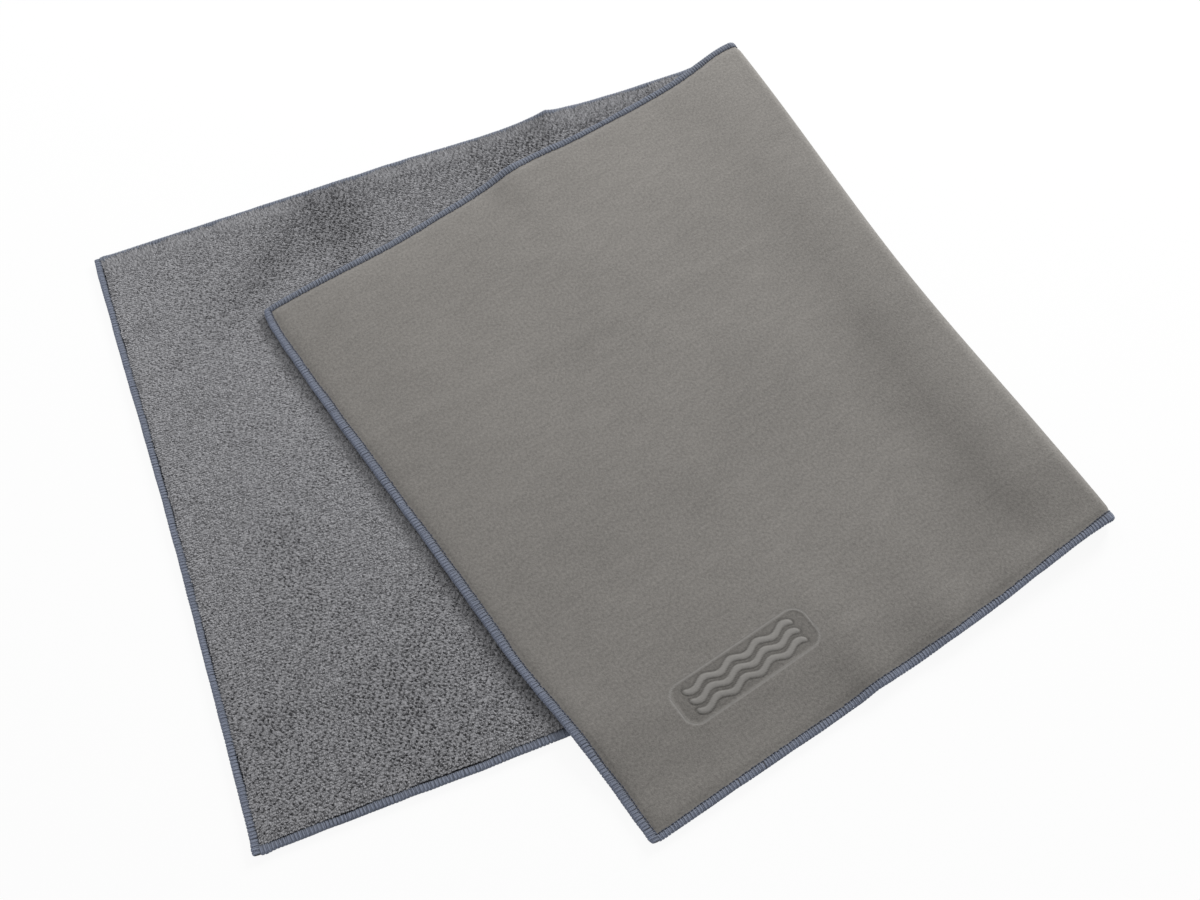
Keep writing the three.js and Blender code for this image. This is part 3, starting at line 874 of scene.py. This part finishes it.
def needle_shape(side, seed):
    """A needle thread as a closed tube that dips through the plies at every stitch"""
    seam, random = bpy.context.scene.seam_settings, np.random.default_rng(seed)
    start, end = side_length(side)
    stitches = round((end - start) / seam.pitch)
    phase = np.arange(stitches * NEEDLE_STEPS + 1) / NEEDLE_STEPS
    stitch = np.minimum(phase.astype(int), stitches - 1)
    run = mix(start, end, phase / stitches)
    inset = NEEDLE_INSET * seam.width * bite(side, run)
    inset = inset + NEEDLE_STRAY * random.normal(0, 1, stitches)[stitch]
    dip = hump(np.abs(phase - np.rint(phase)), 0, DIP_REACH)
    spots = np.stack([run, inset, -NEEDLE_DEPTH - NEEDLE_DIP * dip], -1)
    outward = np.tile((0.0, 0.0, 1.0), (len(phase), 1))
    size = np.full(len(phase), seam.needle_width / 2)
    size[[0, -1]] = 0
    rings, drawn = thread(spots, outward, size, size * 0.9)
    return thread_shape(side, rings, drawn, lambda level: -level, spots)


# how much painted highlight each side's loopers get towards the band's outer edge, for the light that the
# edge catches
EDGE_LIGHT_SHARES = {"near": 0.7, "far": 0.2, "base_end": 1.0, "flap_end": 1.0}


def thread_shape(side, rings, run, to_depth, spots):
    """Closes a thread's rings into a tube on the folded cloth"""
    seam = bpy.context.scene.seam_settings
    stations, around = rings.shape[0] - 1, rings.shape[1] - 1
    tube, station, turn = counted_grid(stations, around)
    ring = rings[station, turn]
    along, across = seam_place(side, ring[:, 0], ring[:, 1])
    place_points(tube, along, across, to_depth(ring[:, 2]))
    # painted highlight, rising towards the band's outer edge
    rubbed = EDGE_LIGHT_SHARES[side] * np.clip(1 - spots[station, 1] / seam.width, 0, 1)
    note_points(tube, run=run[station], turn=turn / around, rubbed=rubbed)
    rooted = seam_place(side, spots[station, 0], spots[station, 1])
    note_points(tube, rooted_along=rooted[0], rooted_across=rooted[1])
    bmesh.ops.remove_doubles(tube, verts=tube.verts, dist=1e-7)
    bmesh.ops.recalc_face_normals(tube, faces=tube.faces)
    return tube


SIDES = ("near", "far", "base_end", "flap_end")


def settle_thread(piece, side, name):
    """Ties a seam's thread to what it is sewn on, and to the CAD nodes that it takes the place of"""
    rooted = [read_note(piece.data, note) for note in ("rooted_along", "rooted_across")]
    if side in ("near", "far"):
        bend_at_fold(piece, *rooted)
        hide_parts(*(f"{side}_{part}_{name}" for part in PLIES))
    else:
        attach(piece, side.removesuffix("_end"))
        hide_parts(f"{side}_{name}")
    for note in ("along", "across", "rooted_along", "rooted_across"):
        piece.data.attributes.remove(piece.data.attributes[note])


class CLOTH_OT_looper_threads(bpy.types.Operator):
    """Model the upper and lower looper threads of the four seams"""

    bl_idname = "cloth.looper_threads"
    bl_label = "Looper threads"

    def execute(self, context):
        seam = context.scene.seam_settings
        material = thread_material("looper_thread", seam.looper_colour, seam.rubbed_colour, 0.5)
        for number, side in enumerate(SIDES):
            for name, face in (("upper_looper", -1), ("lower_looper", 1)):
                shape = looper_shape(side, face, 60 + 2 * number + face)
                settle_thread(new_piece(f"{side}_seam_{name}", shape, material), side, name)
        return {"FINISHED"}


class CLOTH_OT_needle_threads(bpy.types.Operator):
    """Model the needle threads of the four seams"""

    bl_idname = "cloth.needle_threads"
    bl_label = "Needle threads"

    def execute(self, context):
        colour = context.scene.seam_settings.needle_colour
        material = thread_material("needle_thread", colour, colour, 0.35)
        for number, side in enumerate(SIDES):
            shape = needle_shape(side, 80 + number)
            piece = new_piece(f"{side}_seam_needle_thread", shape, material)
            settle_thread(piece, side, "needle_thread")
        return {"FINISHED"}


class NodeBench:
    """Adds nodes to a tree and joins them up"""

    def __init__(self, tree):
        self.tree = tree

    def add(self, kind, inputs=None, **settings):
        """A node with its settings, whose inputs are values or other nodes' outputs"""
        node = self.tree.nodes.new(kind)
        for name, value in settings.items():
            setattr(node, name, value)
        for name, value in (inputs or {}).items():
            self.join(value, node.inputs[name])
        return node

    def join(self, value, socket):
        """Links an output to a socket, or sets the socket's own value"""
        if isinstance(value, bpy.types.NodeSocket):
            self.tree.links.new(value, socket)
        else:
            socket.default_value = value

    def note(self, name):
        """An attribute of the piece's points"""
        return self.add("ShaderNodeAttribute", attribute_name=name).outputs["Fac"]

    def noise(self, vector, scale, detail=2.0, roughness=0.5):
        """Noise from 0 to 1"""
        inputs = {"Vector": vector, "Scale": scale, "Detail": detail, "Roughness": roughness}
        return self.add("ShaderNodeTexNoise", inputs).outputs["Fac"]

    def math(self, operation, first, second=0.5, clamp=False):
        """One sum"""
        inputs = {0: first, 1: second}
        return self.add("ShaderNodeMath", inputs, operation=operation, use_clamp=clamp).outputs[0]

    def spread(self, value, low, high, given=(0.0, 1.0)):
        """Moves a value in a given range to the range from low to high"""
        ends = {"From Min": given[0], "From Max": given[1], "To Min": low, "To Max": high}
        inputs = {"Value": value, **ends}
        return self.add("ShaderNodeMapRange", inputs).outputs["Result"]

    def scale(self, colour, level):
        """A colour made darker or lighter by a level"""
        return self.add("ShaderNodeVectorMath", {0: colour, 1: level}, operation="MULTIPLY").outputs[0]

    def blend(self, share, first, second, blend_type="MIX"):
        """A colour between two"""
        node = self.add("ShaderNodeMix", data_type="RGBA", blend_type=blend_type, clamp_factor=True)
        for value, socket in zip((share, first, second), (node.inputs[0], node.inputs[6], node.inputs[7])):
            self.join(value, socket)
        return node.outputs[2]


# the kinds of a group's sockets that aren't plain numbers
SOCKET_KINDS = {"Vector": "NodeSocketVector", "Colour": "NodeSocketColor"}


def new_group(name, inputs, outputs):
    """An empty node group, its bench and its two end nodes"""
    group = bpy.data.node_groups.new(name, "ShaderNodeTree")
    for in_out, sockets in (("INPUT", inputs), ("OUTPUT", outputs)):
        for socket in sockets:
            kind = SOCKET_KINDS.get(socket, "NodeSocketFloat")
            group.interface.new_socket(socket, in_out=in_out, socket_type=kind)
    bench = NodeBench(group)
    return group, bench, bench.add("NodeGroupInput").outputs, bench.add("NodeGroupOutput").inputs


# scales of the nap's patches, its streaks both ways and its fibres, and the streaks' turn on the open cloth
PATCH_SCALE, STREAK_SCALE, FIBRE_SCALE, STREAK_TURN = 16, (60, 150, 60), 620, 0.6


def mottle_group():
    """Light and dark patches of brushed nap, from a hand's width down to single fibres"""
    if "brushed_mottle" in bpy.data.node_groups:
        return bpy.data.node_groups["brushed_mottle"]
    inputs = ("Vector", "Colour", "Patches", "Fibres")
    group, bench, given, out = new_group("brushed_mottle", inputs, ("Colour", "Height"))
    broad = bench.noise(given["Vector"], PATCH_SCALE, 3, 0.55)
    stroke = {"Vector": given["Vector"], "Scale": STREAK_SCALE, "Rotation": (0, 0, STREAK_TURN)}
    streaks = bench.noise(bench.add("ShaderNodeMapping", stroke).outputs[0], 1, 3, 0.6)
    fibres = bench.noise(given["Vector"], FIBRE_SCALE, 3, 0.8)
    patches = bench.math("SUBTRACT", bench.math("ADD", broad, streaks), 1.0)
    patches = bench.math("MULTIPLY", patches, given["Patches"])
    grain = bench.math("MULTIPLY", bench.math("SUBTRACT", fibres, 0.5), given["Fibres"])
    level = bench.math("ADD", bench.math("ADD", patches, grain), 1.0)
    bench.join(bench.scale(given["Colour"], level), out["Colour"])
    bench.join(bench.math("ADD", fibres, bench.math("MULTIPLY", streaks, 0.4)), out["Height"])
    return group


# twists of the yarn along a metre and round it, and how fine its stray filaments are both ways
TWISTS_ALONG, TWISTS_ROUND, STRAYS_ALONG, STRAYS_ROUND = 700.0, 4.0, 400.0, 9.0


def twist_group():
    """Plied yarn: slanting strands along a thread, with stray lighter and darker filaments"""
    if "plied_twist" in bpy.data.node_groups:
        return bpy.data.node_groups["plied_twist"]
    inputs = ("Run", "Turn", "Colour", "Depth")
    group, bench, given, out = new_group("plied_twist", inputs, ("Colour", "Height"))
    along = bench.math("MULTIPLY", given["Run"], TWISTS_ALONG)
    slant = bench.math("ADD", along, bench.math("MULTIPLY", given["Turn"], TWISTS_ROUND))
    strands = bench.math("SINE", bench.math("MULTIPLY", slant, 2 * math.pi))
    spot = {
        "X": bench.math("MULTIPLY", given["Run"], STRAYS_ALONG),
        "Y": bench.math("MULTIPLY", given["Turn"], STRAYS_ROUND),
    }
    stray = bench.noise(bench.add("ShaderNodeCombineXYZ", spot).outputs[0], 1.0, 3, 0.6)
    height = bench.math("ADD", bench.math("MULTIPLY", strands, 0.25), stray)
    level = bench.math("MULTIPLY", bench.math("SUBTRACT", height, 0.5), given["Depth"])
    level = bench.math("ADD", level, 1.0)
    bench.join(bench.scale(given["Colour"], level), out["Colour"])
    bench.join(height, out["Height"])
    return group


def new_material(name):
    """A material with a bench and its Principled shader"""
    material = bpy.data.materials.new(name)
    material.use_nodes = True
    return material, NodeBench(material.node_tree), material.node_tree.nodes["Principled BSDF"]


# what all the fabrics share: the strength of their bump, their plain reflection and their sheen's roughness
BUMP_STRENGTH, FABRIC_SPECULAR, SHEEN_ROUGHNESS = 0.6, 0.2, 0.5


def finish_fabric(bench, shader, colour, height, distance, roughness, sheen):
    """Sets a fabric's colour, its bump and its soft sheen"""
    bench.join(colour, shader.inputs["Base Color"])
    bump = bench.add("ShaderNodeBump", {"Height": height, "Distance": distance, "Strength": BUMP_STRENGTH})
    bench.join(bump.outputs["Normal"], shader.inputs["Normal"])
    shader.inputs["Roughness"].default_value = roughness
    shader.inputs["Specular IOR Level"].default_value = FABRIC_SPECULAR
    shader.inputs["Sheen Weight"].default_value = sheen
    shader.inputs["Sheen Roughness"].default_value = SHEEN_ROUGHNESS


def cloth_spot(bench):
    """The place on the open cloth as a vector"""
    return bench.add("ShaderNodeCombineXYZ", {"X": bench.note("along"), "Y": bench.note("across")}).outputs[0]


def mottled(bench, colour, patches, fibres):
    """A placed mottle group"""
    inputs = {"Vector": cloth_spot(bench), "Colour": colour, "Patches": patches, "Fibres": fibres}
    return bench.add("ShaderNodeGroup", inputs, node_tree=mottle_group()).outputs


def suede_material():
    """Short brushed nap, darker where it is pressed and with painted shade in the mark's grooves, plain where
    it is ironed flat and with a painted highlight on the mark's rim
    """
    settings = bpy.context.scene.cloth_settings
    material, bench, shader = new_material("suede_nap")
    colour = bench.blend(bench.note("pressed"), (*settings.suede_colour, 1), (*settings.pressed_and_groove_shade_colour, 1))
    nap = mottled(bench, colour, patches=0.24, fibres=1.2)
    ironed = bench.note("smoothed")
    face = bench.blend(ironed, nap["Colour"], (*settings.smoothed_colour, 1))
    height = bench.math("MULTIPLY", nap["Height"], bench.math("SUBTRACT", 1, ironed))
    finish_fabric(bench, shader, face, height, distance=0.35 * MM, roughness=0.92, sheen=0.1)
    return material


def backing_material():
    """Knit between the tufts, in the painted shade of the tufts' roots"""
    material, bench, shader = new_material("pile_knit")
    nap = mottled(bench, (*bpy.context.scene.pile_settings.root_shade_colour, 1), patches=0.2, fibres=0.3)
    finish_fabric(bench, shader, nap["Colour"], nap["Height"], distance=0.2 * MM, roughness=0.95, sheen=0.0)
    return material


# scale of the pile's split fibres, and the range of its noise that becomes specks
SPLIT_SCALE, SPECK_RANGE = 850, (0.38, 0.52)


def pile_material():
    """Split fibres, with painted shade at their roots and lighter at their tips"""
    settings = bpy.context.scene.pile_settings
    material, bench, shader = new_material("plush_pile")
    spot = bench.add("ShaderNodeTexCoord").outputs["Object"]
    fibres = bench.noise(spot, SPLIT_SCALE, 2, 0.7)
    specks = bench.spread(fibres, 0.5, 1.0, SPECK_RANGE)
    tip = bench.math("POWER", bench.note("tip"), 0.6)
    tip = bench.math("MULTIPLY", tip, bench.spread(bench.note("shade"), 0.6, 1.1))
    share = bench.math("MULTIPLY", tip, specks, clamp=True)
    # painted shade at the roots, blending up to the tips' colour
    colour = bench.blend(share, (*settings.root_shade_colour, 1), (*settings.tip_colour, 1))
    finish_fabric(bench, shader, colour, fibres, distance=0.3 * MM, roughness=0.95, sheen=0.1)
    return material


def thread_material(name, colour, rubbed_colour, depth):
    """Bulked plied yarn, with a painted highlight towards the band's outer edge"""
    material, bench, shader = new_material(name)
    # the loopers' colour with a painted highlight towards the band's outer edge
    edge_lit_colour = bench.blend(bench.note("rubbed"), (*colour, 1), (*rubbed_colour, 1))
    inputs = {"Run": bench.note("run"), "Turn": bench.note("turn"), "Colour": edge_lit_colour, "Depth": depth}
    yarn = bench.add("ShaderNodeGroup", inputs, node_tree=twist_group()).outputs
    face, height = yarn["Colour"], yarn["Height"]
    finish_fabric(bench, shader, face, height, distance=0.12 * MM, roughness=0.8, sheen=0.08)
    return material


CAMERA_AZIMUTH, CAMERA_ELEVATION, CAMERA_ROLL = -17.13, 60.14, -5.0
CAMERA_DISTANCE, CAMERA_LENS = 0.8434, 44.36
CAMERA_TARGET = Vector((0.0, -0.0143, 0))
SENSOR_WIDTH, CLIP_START, CLIP_END = 36, 0.01, 50
# place, size and power of the lamp at the right and of the one behind the cloth
LAMPS = {
    "key_lamp": (Vector((1.63, 1.14, 0.93)), 0.7, 48),
    "back_lamp": (Vector((0.0, 0.75, 0.55)), 0.5, 2.3),
}
WORLD_LEVEL = 0.4
# half size of the floor, its drop below the cloth, its own grey and the share of white that it is seen with
FLOOR_SIZE, FLOOR_DROP, FLOOR_GREY, FLOOR_GLOW = 6, 0.3 * MM, 0.9, 0.92


def add_camera():
    """The camera at the photograph's viewing angle"""
    azimuth, elevation, roll = (math.radians(a) for a in (CAMERA_AZIMUTH, CAMERA_ELEVATION, CAMERA_ROLL))
    level_reach = math.cos(elevation)
    back = Vector((math.sin(azimuth) * level_reach, -math.cos(azimuth) * level_reach, math.sin(elevation)))
    level = back.cross(Vector((0, 0, 1))).normalized() * -1
    rise = back.cross(level)
    right = level * math.cos(roll) + rise * math.sin(roll)
    up = rise * math.cos(roll) - level * math.sin(roll)
    camera = new_object("camera", bpy.data.cameras.new("camera"))
    camera.data.lens, camera.data.sensor_width = CAMERA_LENS, SENSOR_WIDTH
    camera.data.clip_start, camera.data.clip_end = CLIP_START, CLIP_END
    turn = Matrix((right, up, back)).transposed()
    camera.matrix_world = Matrix.Translation(CAMERA_TARGET + back * CAMERA_DISTANCE) @ turn.to_4x4()
    bpy.context.scene.camera = camera


def add_lights():
    """A lamp behind the cloth to its right and a soft one straight behind it"""
    for name, (place, size, power) in LAMPS.items():
        lamp = bpy.data.lights.new(name, "AREA")
        lamp.size, lamp.energy = size, power
        light = new_object(name, lamp)
        light.location = place
        light.rotation_mode = "QUATERNION"
        light.rotation_quaternion = place.to_track_quat("Z", "Y")


def seen_directly(bench):
    """1 where the camera, a reflection or glass looks, and 0 for the light that falls on the cloth"""
    path = bench.add("ShaderNodeLightPath").outputs
    seen = bench.math("ADD", path["Is Camera Ray"], path["Is Glossy Ray"])
    return bench.math("ADD", seen, path["Is Transmission Ray"], clamp=True)


def add_floor():
    """A white floor that keeps a faint shadow"""
    shape = bmesh.new()
    bmesh.ops.create_grid(shape, x_segments=1, y_segments=1, size=FLOOR_SIZE)
    material, bench, shader = new_material("white_floor")
    floor = shaped_object("floor", shape, material)
    floor.location.z = -FLOOR_DROP
    shader.inputs["Base Color"].default_value = (FLOOR_GREY, FLOOR_GREY, FLOOR_GREY, 1)
    shader.inputs["Roughness"].default_value = 1
    glow = bench.add("ShaderNodeEmission", {"Color": (1, 1, 1, 1), "Strength": 1.0}).outputs[0]
    share = bench.math("MULTIPLY", seen_directly(bench), FLOOR_GLOW)
    mixed = bench.add("ShaderNodeMixShader", {0: share, 1: shader.outputs[0], 2: glow}).outputs[0]
    bench.join(mixed, material.node_tree.nodes["Material Output"].inputs["Surface"])


def add_world():
    """Even light from all round, seen as white"""
    world = bpy.context.scene.world or bpy.data.worlds.new("studio")
    bpy.context.scene.world = world
    world.use_nodes = True
    bench = NodeBench(world.node_tree)
    background = world.node_tree.nodes["Background"]
    background.inputs["Color"].default_value = (1, 1, 1, 1)
    bench.join(bench.spread(seen_directly(bench), WORLD_LEVEL, 1.0), background.inputs["Strength"])


class CLOTH_OT_stage(bpy.types.Operator):
    """Set up the floor, the light and the camera"""

    bl_idname = "cloth.stage"
    bl_label = "Stage"

    def execute(self, context):
        add_floor()
        add_world()
        add_lights()
        add_camera()
        context.scene.view_settings.view_transform = "Standard"
        return {"FINISHED"}


OPERATORS = (
    CLOTH_OT_suede_ply,
    CLOTH_OT_pile_backing,
    CLOTH_OT_pile_tufts,
    CLOTH_OT_looper_threads,
    CLOTH_OT_needle_threads,
    CLOTH_OT_stage,
)
SETTINGS = {"cloth_settings": ClothSettings, "pile_settings": PileSettings, "seam_settings": SeamSettings}


class CLOTH_PT_pieces(bpy.types.Panel):
    """The cloth's settings and pieces"""

    bl_label = "Folded cloth"
    bl_space_type = "VIEW_3D"
    bl_region_type = "UI"
    bl_category = "Cloth"

    def draw(self, context):
        for name, group in SETTINGS.items():
            for setting in group.__annotations__:
                self.layout.prop(getattr(context.scene, name), setting)
        for operator in OPERATORS:
            self.layout.operator(operator.bl_idname)


def register():
    """Registers the classes and hangs the settings on the scene"""
    for name, group in SETTINGS.items():
        bpy.utils.register_class(group)
        setattr(bpy.types.Scene, name, bpy.props.PointerProperty(type=group))
    for kind in (*OPERATORS, CLOTH_PT_pieces):
        bpy.utils.register_class(kind)


def unregister():
    """Takes the classes and settings away again"""
    for kind in (CLOTH_PT_pieces, *reversed(OPERATORS)):
        bpy.utils.unregister_class(kind)
    for name, group in SETTINGS.items():
        delattr(bpy.types.Scene, name)
        bpy.utils.unregister_class(group)


def main():
    register()
    for operator in OPERATORS:
        family, name = operator.bl_idname.split(".")
        getattr(getattr(bpy.ops, family), name)()


if __name__ == "__main__":
    main()
